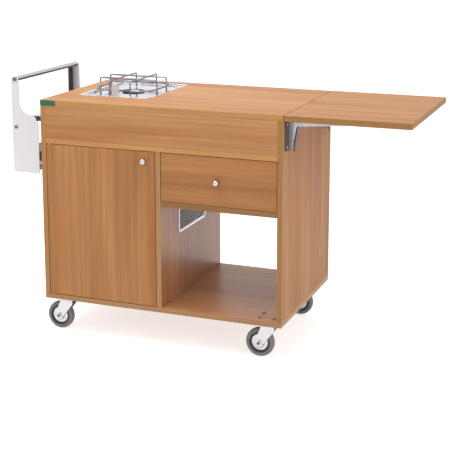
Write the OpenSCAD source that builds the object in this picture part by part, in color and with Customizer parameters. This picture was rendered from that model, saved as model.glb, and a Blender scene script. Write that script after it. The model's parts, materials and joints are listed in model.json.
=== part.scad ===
// Flambe cart: a wooden cabinet on swivel casters, with a gas burner let into its top,
// a cupboard, a drawer over an open bay, a drop leaf on folding brackets and a bottle rack.
// X runs along the cart towards the leaf, Y from the front to the back, Z up from the floor.

/* [Cabinet] */
// Width of the cabinet
cabinet_w = 880; // [800:10:1000]
// Depth of the cabinet and of the leaf
cabinet_d = 554; // [520:2:640]
// Height of the cabinet without its casters
body_h = 712; // [680:2:780]
// Thickness of the sides, shelves, aprons and bottom
board_t = 18; // [16:1:22]
// Thickness of the top and of the leaf
top_t = 20; // [18:1:26]
// Thickness of the back panels
back_t = 8; // [5:1:12]
// Radius of the edge band on every board
edge_r = 1.2; // [0.6:0.1:2]
// Inside width of the cupboard
cupboard_w = 414; // [380:2:460]
// Height of the front and rear aprons
apron_h = 114; // [108:1:140]
// Height of the drawer opening
drawer_open_h = 169; // [150:1:190]
// Gap around the door and the drawer front
reveal = 2; // [1.6:0.1:3]

/* [Door] */
// Thickness of the door
door_t = 18; // [16:1:22]
// Radius of the pivot pins
door_pin_r = 3; // [2.5:0.1:3.5]
// Length of a pivot pin inside each of the two boards that it joins
door_pin_grip = 10; // [6:1:14]
// Distance of the pivot axis from the hinged edge of the door
door_pin_x = 9; // [8:0.5:12]
// Distance of the pivot axis behind the face of the door
door_pin_y = 5; // [4.5:0.1:5.5]
// Distance of the door knob from the free edge of the door
door_knob_x = 36; // [30:1:60]
// Distance of the door knob below the top edge of the door
door_knob_z = 31; // [25:1:80]
// Distance of the magnet catch below the burner shelf
catch_drop = 110; // [80:5:200]
// Length of the magnet catch
catch_l = 40; // [30:1:50]
// Thickness of the strike plate on the door
strike_t = 1.5; // [1:0.1:2]

/* [Knobs] */
// Radius of the ball of a furniture knob
knob_r = 11; // [9:0.5:14]
// Radius of its neck
knob_neck_r = 5; // [4:0.5:6]
// Distance that a knob stands out
knob_reach = 28; // [24:1:34]

/* [Drawer] */
// Thickness of the sides and back of the drawer
drawer_side_t = 12; // [10:1:15]
// Height of the sides of the drawer
drawer_side_h = 120; // [90:1:130]
// Length of the sides of the drawer
drawer_l = 480; // [400:5:490]
// Thickness of the drawer bottom
drawer_bottom_t = 6; // [4:1:8]
// Space for a runner on each side of the drawer
runner_gap = 12.5; // [12:0.1:14]
// Thickness of the runner steel
runner_t = 1.2; // [1:0.1:1.5]
// Radius of a runner roller
roller_r = 7; // [6:0.5:8]

/* [Vent] */
// Length of the vent grille
vent_l = 244; // [200:4:280]
// Height of the vent grille
vent_h = 122; // [100:2:130]
// Distance of the grille from the front of the cabinet
vent_y = 150; // [80:5:200]
// Distance of the grille below the drawer shelf
vent_drop = 7; // [4:1:12]
// Thickness of the grille plate
vent_t = 1.5; // [1:0.1:2]
// Width of the frame of the grille
vent_frame = 8; // [6:1:12]
// Radius of a hole in the grille
vent_hole_r = 3.9; // [3:0.1:4.4]
// Pitch of the holes in a row
vent_pitch = 11; // [10.5:0.5:14]

/* [Leaf and brackets] */
// Length of the leaf
leaf_l = 412; // [360:2:460]
// Gap between the leaf and the top
leaf_gap = 2; // [1:0.1:3]
// Distance from the front edge to the middle of a bracket
bracket_y = 74; // [62:1:110]
// Thickness of the bracket steel
bracket_t = 2; // [1.5:0.1:2.5]
// Width of a bracket leg over its walls
leg_w = 30; // [26:1:40]
// Length of a bracket leg below the pivot
leg_drop = 87; // [80:1:120]
// Depth of a bracket leg at its foot
leg_foot = 12; // [11:1:16]
// Width of the wing that takes the screws of a bracket leg
wing_w = 40; // [30:1:44]
// Distance of the pivot from the side of the cabinet and from the leaf
pivot_in = 15; // [14:0.5:18]
// Length of a bracket arm beyond the pivot
arm_l = 215; // [150:5:230]
// Depth of an arm at its tip
arm_tip = 9; // [6:0.5:12]
// Radius of a bracket pivot pin
bracket_pin_r = 3; // [2.5:0.1:3.5]
// Width of the lock lever
lever_w = 14; // [10:1:16]

/* [Hob] */
// Width of the hob tray over its rim
hob_w = 272; // [262:2:300]
// Depth of the hob tray over its rim
hob_d = 360; // [340:2:380]
// Distance of the tray from the left side of the cabinet
hob_x = 70; // [50:2:90]
// Distance of the tray from the front of the cabinet
hob_y = 148; // [130:2:160]
// Width of the rim that lies in a rebate of the top
hob_rim = 12; // [11:1:14]
// Depth of that rebate
rim_seat = 1; // [0.5:0.1:1.4]
// Thickness of the tray steel
hob_t = 1.5; // [1:0.1:2]
// Depth of the ledge below the top
ledge_drop = 6; // [4:1:10]
// Depth of the burner well below the ledge
well_drop = 20; // [18:1:26]
// Distance of the burner from the front of the tray
burner_in = 166; // [162:1:190]
// Radius of the burner well
well_r = 62; // [56:1:70]
// Radius of the burner crown
crown_r = 35; // [33:1:42]
// Height of the burner crown
crown_h = 9; // [7:1:11]
// Distance of the foot of the crown below the ledge
crown_drop = 12; // [8:1:14]
// Number of flame ports round the crown
port_count = 28; // [20:2:36]
// Radius of the pan support rod
rod_r = 3; // [2.5:0.1:4]
// Height of the pan support above the top
pan_h = 49; // [40:1:54]
// Reach of the pan support from the burner to its feet
pan_reach = 112; // [100:1:116]
// Half the distance between two neighbouring rods
pan_half = 41; // [36:1:46]
// Radius of the bend at each end of a rod
pan_bend = 6; // [5:0.5:8]
// Radius of the corners of the ring
pan_turn = 56; // [40:1:60]
// Radius of the gas knob
gas_knob_r = 12.5; // [11:0.5:15]
// Height of the gas knob
gas_knob_h = 46; // [24:1:50]
// Push travel of the gas knob
gas_push = 3; // [2:0.5:4]
// Radius of the gas pipe
pipe_r = 4; // [3:0.5:5]
// Length of the hose tail below its nut
tail_l = 25; // [20:1:35]

/* [Bottle rack] */
// Length of the rack
rack_l = 450; // [400:5:500]
// Distance of the outer face of the rack from the cabinet
rack_out = 144; // [130:1:160]
// Distance of the inner face of the rack from the cabinet
rack_in = 40; // [30:1:50]
// Thickness of the rack sheet
rack_t = 2; // [1.5:0.1:2.5]
// Height of the end plates below their posts
rack_plate_h = 209; // [180:1:240]
// Distance of the top of the end plates below the cart top
rack_drop = 67; // [60:1:90]
// Width of a post
post_w = 30; // [26:1:36]
// Height of the post above the cart top
post_rise = 66; // [50:1:80]
// Radius of the curve from post to plate
post_curve = 48; // [30:1:48]
// Width of the folded edge of an end plate
flange_w = 38; // [20:1:45]
// Radius of the handle tube
handle_r = 8.5; // [8:0.5:12]
// Radius of the bottle rail
rail_r = 5; // [4:0.5:6]
// Height of the bottle rail above the bottom of the rack
rail_z = 163; // [120:1:175]
// Height of the lip that holds the bottles in
tray_lip = 60; // [30:1:80]
// Height of the lip on the side of the cabinet
tray_back = 20; // [10:1:40]
// Width of the cut-off corner over each upper hanger
notch_w = 18; // [10:1:22]
// Height of that corner
notch_h = 28; // [16:1:34]
// Height of a hanger
hanger_h = 32; // [26:1:40]
// Height of the lower hangers above the bottom of the rack
hanger_z = 46; // [30:1:80]

/* [Casters] */
// Height of a caster from the floor to the cabinet
caster_h = 125; // [122:1:140]
// Radius of a wheel
wheel_r = 50; // [45:1:50]
// Width of a tyre
tyre_w = 25; // [22:1:30]
// Radius of the hub inside its tyre
hub_r = 33; // [30:1:35]
// Distance of the wheel axle behind the swivel axis
caster_trail = 30; // [20:1:36]
// Distance of the swivel axes from the cabinet's ends
caster_in_x = 61; // [58:1:90]
// Distance of the swivel axes from the cabinet's front and back
caster_in_y = 55; // [54:1:90]
// Distance between two bolts of a caster along the cabinet
bolt_gap_x = 52; // [50:1:58]
// Distance between two bolts of a caster from front to back
bolt_gap_y = 46; // [44:1:52]
// Radius of a caster bolt
caster_bolt_r = 3; // [2.5:0.1:3.5]
// Thickness of the caster plate
plate_t = 3; // [2:0.5:4]
// Thickness of the fork steel
fork_t = 2.5; // [2:0.1:3]
// Radius of the wheel axle
axle_r = 5; // [4:0.5:6]

/* [Fits] */
// Radial clearance of a pin in its bore
run_fit = 0.08; // [0.05:0.01:0.1]
// Gap between neighbouring pieces that move apart
part_gap = 0.4; // [0.3:0.1:0.6]

/* [Hidden] */
$fn = 64;
wood = "#c08a58";
steel = "#d8d8da";
dark = "#3a3a3c";

// Levels above the floor
top_z = caster_h + body_h;
top_under = top_z - top_t;
base_z = caster_h + board_t;
shelf_top = top_under - apron_h;
shelf_under = shelf_top - board_t;
drawer_floor = shelf_under - drawer_open_h;

// Places along the cabinet
divider_x = board_t + cupboard_w;
bay_x = divider_x + board_t;
bay_w = cabinet_w - board_t - bay_x;
inner_w = cabinet_w - 2 * board_t;

// The frame's origin is under the middle of everything
x_low = -rack_out;
x_high = cabinet_w + leaf_gap + leaf_l;
y_low = -knob_reach;
y_high = cabinet_d;
mid_x = (x_low + x_high) / 2;
mid_y = (y_low + y_high) / 2;

// Door
door_x = board_t + reveal;
door_z = base_z + reveal;
door_w = cupboard_w - 2 * reveal;
door_h = shelf_under - base_z - 2 * reveal;
pivot_x = door_x + door_pin_x;
catch_w = 14;
catch_z = shelf_under - catch_drop;

// Vent
vent_z = drawer_floor - board_t - vent_drop - vent_h;

// Drawer
front_w = bay_w - 2 * reveal;
front_h = drawer_open_h - 2 * reveal;
rail_base = drawer_floor + 10;
flange_z = rail_base + runner_t + 2 * roller_r + 2 * part_gap;
drawer_side_z = flange_z;
box_w = bay_w - 2 * runner_gap;
rail_w = runner_gap - runner_t - 2 * part_gap;
rail_l = drawer_l - 20;
rail_h = 34;
drawer_in_x = bay_x + runner_gap + drawer_side_t;
drawer_in_w = box_w - 2 * drawer_side_t;

// Leaf and brackets
pivot_z = top_under - pivot_in;
leg_round = pivot_in - 2;
arm_round = pivot_in - 4;
arm_w = leg_w - 2 * bracket_t - 2;
bracket_ys = [bracket_y, cabinet_d - bracket_y];
lever_pin_r = 2;
lever_boss_r = lever_pin_r + 1.4;
lever_pin_x = bracket_t + lever_boss_r + part_gap + 0.2;
lever_pin_z = -60;
lever_t = 2.5;

// Hob and burner
burner_x = hob_x + hob_w / 2;
burner_y = hob_y + burner_in;
rim_z = top_z - rim_seat;
ledge_z = top_z - ledge_drop;
well_z = ledge_z - well_drop;
crown_low = ledge_z - crown_drop;
cap_z = crown_low + crown_h;
cut_gap = 2;
pot_r = 22;
knob_x = burner_x - 5;
knob_y = hob_y + hob_rim + gas_knob_r + 5;
stem_r = 4;
stem_hole_r = stem_r + 1.5;
gas_knob_z = ledge_z + gas_push + 1.5;
tap_z = ledge_z - hob_t;
pipe_z = well_z - hob_t - 8;
tap_low = pipe_z - 9;
tap_l = 26;
boss_l = pot_r + 8;
inlet_l = 60;

// Bottle rack
rack_y0 = (cabinet_d - rack_l) / 2;
rack_y1 = rack_y0 + rack_l;
plate_top = top_z - rack_drop;
plate_low = plate_top - rack_plate_h;
post_top = top_z + post_rise;
post_mid_x = -rack_out + post_w / 2;
handle_z = post_top - handle_r;
tray_z = plate_low + 12;
ear_l = 38;
block_l = 34;

// Casters
swivel_points = [
    [caster_in_x, caster_in_y],
    [cabinet_w - caster_in_x, caster_in_y],
    [caster_in_x, cabinet_d - caster_in_y],
    [cabinet_w - caster_in_x, cabinet_d - caster_in_y]
];
plate_margin = 12;
king_r = 6;
head_r = 26;
head_z = caster_h - plate_t - part_gap;
crown_z = 2 * wheel_r + 8;
leg_in = tyre_w / 2 + 3;

// A rectangle with round corners
module round_rect(w, h, r) {
    translate([r, 0]) square([w - 2 * r, h]);
    translate([0, r]) square([w, h - 2 * r]);
    for (x = [r, w - r], y = [r, h - r]) {
        translate([x, y]) circle(r);
    }
}

// A board with every edge eased
module board(x, y, z, r = edge_r) {
    intersection() {
        linear_extrude(z) round_rect(x, y, r);
        translate([0, y, 0]) rotate([90, 0, 0]) linear_extrude(y) round_rect(x, z, r);
        rotate([90, 0, 90]) linear_extrude(x) round_rect(y, z, r);
    }
}

// Everything is drawn from the cabinet's front left corner and moved to the origin
module place() {
    translate([-mid_x, -mid_y, 0]) children();
}

// An outline in X and Z, given thickness along Y
module slab(y, t) {
    translate([0, y + t, 0]) rotate([90, 0, 0]) linear_extrude(t) children();
}

module y_rod(r, y0, y1, x, z) {
    translate([x, y0, z]) rotate([-90, 0, 0]) cylinder(r = r, h = y1 - y0);
}

module at_caster_bolts() {
    for (p = swivel_points, x = [-bolt_gap_x / 2, bolt_gap_x / 2], y = [-bolt_gap_y / 2, bolt_gap_y / 2]) {
        translate([p[0] + x, p[1] + y, 0]) children();
    }
}

module bottom_board() {
    color(wood) place() difference() {
        translate([0, 0, caster_h]) board(cabinet_w, cabinet_d, board_t);
        translate([pivot_x, door_pin_y, base_z - door_pin_grip - 1])
            cylinder(r = door_pin_r + run_fit, h = door_pin_grip + 2);
        at_caster_bolts() translate([0, 0, caster_h - 1])
            cylinder(r = caster_bolt_r + run_fit, h = board_t + 2);
    }
}

module side_board(x) {
    color(wood) place()
        translate([x, 0, base_z]) board(board_t, cabinet_d, top_under - base_z);
}

module left_side() {
    side_board(0);
}

module right_side() {
    side_board(cabinet_w - board_t);
}

// The divider has two windows behind the vent grille
module divider() {
    window_l = (vent_l - 3 * vent_frame) / 2;
    window_h = vent_h - 2 * vent_frame;
    color(wood) place() difference() {
        translate([divider_x, 0, base_z]) board(board_t, cabinet_d, shelf_under - base_z);
        for (i = [0, 1]) {
            translate([divider_x - 1, vent_y + vent_frame + i * (window_l + vent_frame), vent_z + vent_frame])
                cube([board_t + 2, window_l, window_h]);
        }
    }
}

module burner_shelf() {
    color(wood) place() difference() {
        translate([board_t, 0, shelf_under]) board(inner_w, cabinet_d, board_t);
        translate([pivot_x, door_pin_y, shelf_under - 1])
            cylinder(r = door_pin_r + run_fit, h = door_pin_grip + 2);
        translate([knob_x, knob_y, shelf_under - 1])
            cylinder(r = pipe_r + 3, h = board_t + 2);
    }
}

module drawer_shelf() {
    color(wood) place()
        translate([bay_x, 0, drawer_floor - board_t]) board(bay_w, cabinet_d, board_t);
}

module apron(y) {
    color(wood) place()
        translate([board_t, y, shelf_top]) board(inner_w, board_t, apron_h);
}

module front_apron() {
    apron(0);
}

module rear_apron() {
    apron(cabinet_d - board_t);
}

module cupboard_back() {
    color(wood) place()
        translate([board_t, cabinet_d - back_t, base_z])
            board(cupboard_w, back_t, shelf_under - base_z);
}

module drawer_bay_back() {
    color(wood) place()
        translate([bay_x, cabinet_d - back_t, drawer_floor])
            board(bay_w, back_t, drawer_open_h);
}

module top_board() {
    color(wood) place() difference() {
        translate([0, 0, top_under]) board(cabinet_w, cabinet_d, top_t);
        translate([hob_x + hob_rim - cut_gap, hob_y + hob_rim - cut_gap, top_under - 1])
            linear_extrude(top_t + 2)
                round_rect(hob_w - 2 * (hob_rim - cut_gap), hob_d - 2 * (hob_rim - cut_gap), 10);
        translate([hob_x - part_gap, hob_y - part_gap, rim_z])
            linear_extrude(top_t)
                round_rect(hob_w + 2 * part_gap, hob_d + 2 * part_gap, 12 + part_gap);
    }
}

// Perforated plate with a folded frame; the holes are staggered
module vent_grille() {
    lip = vent_frame - 2;
    row_step = vent_pitch * 0.866;
    rows = floor((vent_h - 2 * vent_frame - 2 * vent_hole_r) / row_step);
    cols = floor((vent_l - 2 * vent_frame - 2 * vent_hole_r - vent_pitch / 2) / vent_pitch);
    y0 = (vent_l - cols * vent_pitch - vent_pitch / 2) / 2;
    z0 = (vent_h - rows * row_step) / 2;
    color(steel) place() translate([bay_x, vent_y, vent_z]) {
        rotate([90, 0, 90]) linear_extrude(vent_t) difference() {
            round_rect(vent_l, vent_h, 4);
            for (r = [0:rows], c = [0:cols]) {
                translate([y0 + c * vent_pitch + (r % 2) * vent_pitch / 2, z0 + r * row_step])
                    circle(vent_hole_r, $fn = 16);
            }
        }
        translate([vent_t, 0, 0]) rotate([90, 0, 90]) linear_extrude(vent_t) difference() {
            round_rect(vent_l, vent_h, 4);
            translate([lip, lip]) round_rect(vent_l - 2 * lip, vent_h - 2 * lip, 2);
        }
    }
}

module door() {
    color(wood) place() difference() {
        translate([door_x, 0, door_z]) board(door_w, door_t, door_h);
        for (z = [door_z - 1, door_z + door_h - door_pin_grip]) {
            translate([pivot_x, door_pin_y, z])
                cylinder(r = door_pin_r + run_fit, h = door_pin_grip + 1);
        }
    }
}

// The pins stand in the bottom board and hang from the burner shelf
module door_pins() {
    pin_l = 2 * door_pin_grip + reveal - 2;
    collar_h = reveal - part_gap;
    color(steel) place() {
        translate([pivot_x, door_pin_y, base_z - door_pin_grip])
            cylinder(r = door_pin_r, h = pin_l);
        translate([pivot_x, door_pin_y, shelf_under + door_pin_grip - pin_l])
            cylinder(r = door_pin_r, h = pin_l);
        for (z = [base_z, shelf_under - collar_h]) {
            translate([pivot_x, door_pin_y, z])
                cylinder(r = door_pin_r + 1.2, h = collar_h);
        }
    }
}

module furniture_knob(x, z) {
    ball_y = -(knob_reach - knob_r);
    color(steel) place() translate([x, 0, z]) rotate([90, 0, 0]) rotate_extrude() {
        square([knob_neck_r + 3, 2]);
        square([knob_neck_r, knob_reach - knob_r]);
        intersection() {
            translate([0, -ball_y]) circle(knob_r);
            square([knob_r, knob_reach]);
        }
    }
}

module door_knob() {
    furniture_knob(door_x + door_w - door_knob_x, door_z + door_h - door_knob_z);
}

module door_catch() {
    color(dark) place()
        translate([divider_x - catch_w, door_t + strike_t + part_gap, catch_z])
            board(catch_w, 20, catch_l, 1);
}

module strike_plate() {
    color(steel) place()
        translate([divider_x - reveal - catch_w, door_t, catch_z])
            cube([catch_w - 1, strike_t, catch_l]);
}

module drawer_front() {
    color(wood) place()
        translate([bay_x + reveal, 0, drawer_floor + reveal]) board(front_w, door_t, front_h);
}

module drawer_sides() {
    color(wood) place() {
        for (x = [bay_x + runner_gap, bay_x + bay_w - runner_gap - drawer_side_t]) {
            translate([x, door_t, drawer_side_z])
                board(drawer_side_t, drawer_l, drawer_side_h);
        }
    }
}

module drawer_back() {
    color(wood) place()
        translate([drawer_in_x, door_t + drawer_l - drawer_side_t, drawer_side_z])
            board(drawer_in_w, drawer_side_t, drawer_side_h);
}

module drawer_bottom() {
    color(wood) place()
        translate([drawer_in_x, door_t, drawer_side_z + 4])
            board(drawer_in_w, drawer_l - drawer_side_t, drawer_bottom_t);
}

module drawer_knob() {
    furniture_knob(bay_x + bay_w / 2, drawer_floor + drawer_open_h / 2);
}

// Fixed runner on the left of the drawer: web, track and a roller at its front
module left_cabinet_rail() {
    translate([bay_x, 2 + door_t, rail_base]) cube([runner_t, rail_l, rail_h]);
    translate([bay_x, 2 + door_t, rail_base]) cube([rail_w, rail_l, runner_t]);
    translate([bay_x + runner_t, door_t + 12, rail_base + runner_t + roller_r + part_gap])
        rotate([0, 90, 0]) cylinder(r = roller_r, h = rail_w - runner_t);
}

// Moving runner on the left of the drawer: angle under the side and a roller at its back
module left_drawer_rail() {
    side_x = bay_x + runner_gap;
    translate([side_x - runner_t, door_t, flange_z]) cube([runner_t, rail_l, rail_h - 14]);
    translate([side_x - rail_w, door_t, flange_z]) cube([rail_w, rail_l, runner_t]);
    translate([side_x - runner_t, door_t + rail_l - 30, flange_z - roller_r - 5])
        cube([runner_t, 30, roller_r + 6]);
    translate([side_x - rail_w + 1, door_t + rail_l - 15, rail_base + runner_t + roller_r + part_gap])
        rotate([0, 90, 0]) cylinder(r = roller_r, h = rail_w - 1);
}

module both_sides() {
    children();
    translate([2 * bay_x + bay_w, 0, 0]) mirror([1, 0, 0]) children();
}

module cabinet_rails() {
    color(steel) place() both_sides() left_cabinet_rail();
}

module drawer_rails() {
    color(steel) place() both_sides() left_drawer_rail();
}

module leaf_board() {
    color(wood) place()
        translate([cabinet_w + leaf_gap, 0, top_under]) board(leaf_l, cabinet_d, top_t);
}

// Wall of a bracket leg, drawn from the side of the cabinet and the pivot's height
module leg_outline() {
    translate([pivot_in, 0]) circle(leg_round);
    square([pivot_in, leg_round]);
    polygon([
        [0, 1], [pivot_in + leg_round, 0],
        [leg_foot, -leg_drop], [0, -leg_drop]
    ]);
}

// The front bracket, and the rear one as its mirror image
module at_brackets() {
    translate([cabinet_w, bracket_y, pivot_z]) children();
    translate([cabinet_w, cabinet_d - bracket_y, pivot_z]) mirror([0, 1, 0]) children();
}

// Pressed steel channel: two tapered walls, and a back plate with a wing for its screws
module bracket_leg() {
    difference() {
        union() {
            for (s = [-leg_w / 2, leg_w / 2 - bracket_t]) {
                slab(s, bracket_t) leg_outline();
            }
            translate([0, -leg_w / 2 - wing_w, -leg_drop]) rotate([90, 0, 90])
                linear_extrude(bracket_t) round_rect(wing_w + leg_w, leg_drop + leg_round, 5);
        }
        y_rod(bracket_pin_r + run_fit, -leg_w, leg_w, pivot_in, 0);
        y_rod(lever_pin_r + run_fit, -leg_w, leg_w, lever_pin_x, lever_pin_z);
    }
}

module bracket_legs() {
    color(steel) place() at_brackets() bracket_leg();
}

// Wall of an arm: round at the pivot, then tapered to its tip
module arm_outline() {
    circle(arm_round);
    polygon([
        [-8, 0], [-8, pivot_in], [arm_l, pivot_in],
        [arm_l, pivot_in - arm_tip], [0, -arm_round]
    ]);
}

module bracket_arm(y) {
    translate([cabinet_w + pivot_in, y, pivot_z]) difference() {
        union() {
            for (s = [-arm_w / 2, arm_w / 2 - bracket_t]) {
                slab(s, bracket_t) arm_outline();
            }
            translate([-8, -arm_w / 2, pivot_in - bracket_t])
                cube([arm_l + 8, arm_w, bracket_t]);
        }
        y_rod(bracket_pin_r + run_fit, -leg_w, leg_w, 0, 0);
    }
}

module bracket_arms() {
    color(steel) place() for (y = bracket_ys) bracket_arm(y);
}

module bracket_pins() {
    color(steel) place() for (y = bracket_ys) translate([cabinet_w + pivot_in, y, pivot_z]) {
        y_rod(bracket_pin_r, -leg_w / 2 - 1.5, leg_w / 2 + 1.5, 0, 0);
        y_rod(bracket_pin_r + 2, -leg_w / 2 - 1.5, -leg_w / 2, 0, 0);
        y_rod(bracket_pin_r + 2, leg_w / 2, leg_w / 2 + 1.5, 0, 0);
    }
}

// Lock lever: a strip along the open edge of the leg, swung on a cross pin
module lock_lever(y) {
    nose = [pivot_in + leg_round - 4, -leg_round - 4];
    heel = [leg_foot + lever_t, -leg_drop + 8];
    color(steel) place() translate([cabinet_w, y, pivot_z]) {
        slab(-lever_w / 2, lever_w) {
            polygon([
                nose, nose + [lever_t, 0], heel + [lever_t, 0], heel + [lever_t, -16],
                heel + [0, -16], heel
            ]);
            translate([lever_pin_x, lever_pin_z]) circle(lever_boss_r);
            polygon([
                [lever_pin_x, lever_pin_z + 3], [heel[0] + 4, lever_pin_z + 3],
                [heel[0] + 4, lever_pin_z - 3], [lever_pin_x, lever_pin_z - 3]
            ]);
        }
        y_rod(lever_pin_r, -leg_w / 2, leg_w / 2, lever_pin_x, lever_pin_z);
    }
}

module front_lock_lever() {
    lock_lever(bracket_ys[0]);
}

module rear_lock_lever() {
    lock_lever(bracket_ys[1]);
}

// Pressed tray: a rim let into the top, a ledge below it and a round well for the burner
module hob_tray() {
    in_w = hob_w - 2 * hob_rim;
    in_d = hob_d - 2 * hob_rim;
    color(steel) place() difference() {
        union() {
            translate([hob_x, hob_y, rim_z]) linear_extrude(hob_t) round_rect(hob_w, hob_d, 12);
            translate([hob_x + hob_rim, hob_y + hob_rim, ledge_z - hob_t])
                linear_extrude(ledge_drop + hob_t) round_rect(in_w, in_d, 8);
            translate([burner_x, burner_y, well_z - hob_t])
                cylinder(r = well_r + hob_t, h = well_drop + hob_t);
        }
        translate([hob_x + hob_rim + hob_t, hob_y + hob_rim + hob_t, ledge_z])
            linear_extrude(ledge_drop + 2 * hob_t)
                round_rect(in_w - 2 * hob_t, in_d - 2 * hob_t, 8 - hob_t);
        translate([burner_x, burner_y, well_z])
            cylinder(r1 = well_r - 8, r2 = well_r, h = well_drop + 1);
        translate([burner_x, burner_y, well_z - 2 * hob_t])
            cylinder(r = pot_r + 1, h = 4 * hob_t);
        translate([knob_x, knob_y, tap_z - hob_t])
            cylinder(r = stem_hole_r, h = 4 * hob_t);
    }
}

// Cast pot under the tray with its skirt above
module burner_base() {
    color(steel) place() translate([burner_x, burner_y, 0]) difference() {
        union() {
            translate([0, 0, well_z - 32]) cylinder(r = pot_r, h = 34);
            translate([0, 0, well_z]) cylinder(r = pot_r + 12, h = 3);
            translate([0, 0, well_z + 3])
                cylinder(r1 = pot_r + 5, r2 = crown_r - 8, h = crown_low - well_z - 3);
            y_rod(7, -boss_l, -pot_r / 2, knob_x - burner_x, pipe_z);
        }
        y_rod(pipe_r - 1, -boss_l - 1, -pot_r + 1, knob_x - burner_x, pipe_z);
        translate([0, 0, well_z - 28]) cylinder(r = pot_r - 4, h = 80);
    }
}

// Ring with flame ports round its edge
module burner_crown() {
    color(dark) place() translate([burner_x, burner_y, crown_low]) difference() {
        cylinder(r = crown_r, h = crown_h);
        translate([0, 0, 3]) cylinder(r = crown_r - 5, h = crown_h);
        translate([0, 0, -1]) cylinder(r = pot_r - 4, h = crown_h);
        for (i = [0:port_count - 1]) {
            rotate([0, 0, i * 360 / port_count]) translate([crown_r - 6, -1, crown_h - 3.5])
                cube([7, 2, 5]);
        }
    }
}

// Domed cap with a short spigot inside the crown
module burner_cap() {
    cap_r = crown_r - 3;
    rim = 2.5;
    dome = 7;
    dome_r = (cap_r * cap_r + dome * dome) / (2 * dome);
    color(steel) place() translate([burner_x, burner_y, cap_z + part_gap]) {
        rotate_extrude() {
            square([cap_r, rim]);
            translate([0, rim]) intersection() {
                translate([0, dome - dome_r]) circle(dome_r);
                square([cap_r, dome]);
            }
        }
        translate([0, 0, -4]) difference() {
            cylinder(r = crown_r - 6, h = 4);
            translate([0, 0, -1]) cylinder(r = crown_r - 9, h = 5);
        }
    }
}

// One bent rod of the pan support: a straight top with round bends and two legs
module pan_rod(side) {
    top = top_z + pan_h - rod_r;
    foot = ledge_z + part_gap;
    half = pan_reach - pan_bend;
    translate([0, side, top]) rotate([0, 90, 0])
        translate([0, 0, -half]) cylinder(r = rod_r, h = 2 * half);
    for (m = [0, 1]) mirror([m, 0, 0]) {
        translate([half, side, top - pan_bend]) rotate([90, 0, 0])
            rotate_extrude(angle = 90) translate([pan_bend, 0]) circle(rod_r);
        translate([pan_reach, side, foot + rod_r]) cylinder(r = rod_r, h = top - pan_bend - foot - rod_r);
        translate([pan_reach, side, foot + rod_r]) sphere(rod_r);
    }
}

// Four bent rods welded where they cross, and a ring of rod that ties their legs together
module pan_support() {
    ring_z = top_z + 14;
    color(steel) place() translate([burner_x, burner_y, 0]) {
        for (s = [-pan_half, pan_half]) {
            pan_rod(s);
            rotate([0, 0, 90]) pan_rod(s);
        }
        for (a = [0:90:270]) rotate([0, 0, a]) translate([0, 0, ring_z]) {
            y_rod(rod_r, pan_turn - pan_reach, pan_reach - pan_turn, pan_reach, 0);
            translate([pan_reach - pan_turn, pan_reach - pan_turn, 0])
                rotate_extrude(angle = 90) translate([pan_turn, 0]) circle(rod_r);
        }
    }
}

// Tap body under the tray, held by a nut against the ledge
module gas_tap() {
    color("#c9a95c") place() translate([knob_x, knob_y, 0]) difference() {
        union() {
            translate([0, 0, tap_z - 6]) cylinder(r = 11, h = 6);
            translate([0, 0, tap_low]) cylinder(r = 9, h = tap_z - 5 - tap_low);
            translate([-7, 0, pipe_z - 7]) cube([14, tap_l, 14]);
        }
        translate([0, 0, tap_z - 20]) cylinder(r = stem_r + run_fit, h = 40);
        y_rod(pipe_r - 1, tap_l - 8, tap_l + 1, 0, pipe_z);
    }
}

module tap_stem() {
    color(steel) place() translate([knob_x, knob_y, tap_z - 20 + gas_push + 1])
        cylinder(r = stem_r, h = gas_knob_z - tap_z + 20 - gas_push - 1 + gas_knob_h - 9);
}

// Tall control knob: a smooth crown over a fluted grip
module gas_knob() {
    flutes = 14;
    grip_h = gas_knob_h * 0.55;
    color(steel) place() translate([knob_x, knob_y, gas_knob_z]) difference() {
        rotate_extrude() {
            square([gas_knob_r, gas_knob_h - 2]);
            square([gas_knob_r - 2, gas_knob_h]);
            translate([gas_knob_r - 2, gas_knob_h - 2]) intersection() {
                circle(2);
                square(2);
            }
        }
        translate([0, 0, -1]) cylinder(r = stem_r + run_fit, h = gas_knob_h - 7);
        for (i = [0:flutes - 1]) {
            rotate([0, 0, i * 360 / flutes]) translate([gas_knob_r + 0.8, 0, -1])
                cylinder(r = 2, h = grip_h);
        }
    }
}

// Supply pipe from the inlet in the cupboard to the tap, and feed pipe from tap to burner
module gas_pipe() {
    inlet_z = shelf_under - inlet_l;
    color("#c9a95c") place() {
        translate([knob_x, knob_y, inlet_z]) cylinder(r = pipe_r, h = tap_low - inlet_z);
        translate([knob_x, knob_y, inlet_z + tail_l]) cylinder(r = 9, h = 8, $fn = 6);
        y_rod(pipe_r, knob_y + tap_l, burner_y - boss_l, knob_x, pipe_z);
    }
}

// End plate: a low plate and a post joined by a hollow curve, with its inner corner cut off
module end_outline() {
    difference() {
        union() {
            translate([-rack_out, plate_low]) square([rack_out - rack_in, rack_plate_h]);
            translate([-rack_out, plate_top]) square([post_w + post_curve, post_curve]);
            translate([-rack_out, plate_top]) square([post_w, post_top - plate_top - post_w / 2]);
            translate([post_mid_x, post_top - post_w / 2]) circle(post_w / 2);
        }
        translate([-rack_out + post_w + post_curve, plate_top + post_curve]) circle(post_curve);
        polygon([
            [-rack_in - notch_w, plate_top], [-rack_in - notch_w, plate_top + 1],
            [-rack_in + 1, plate_top + 1], [-rack_in + 1, plate_top - notch_h],
            [-rack_in, plate_top - notch_h]
        ]);
    }
}

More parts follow.
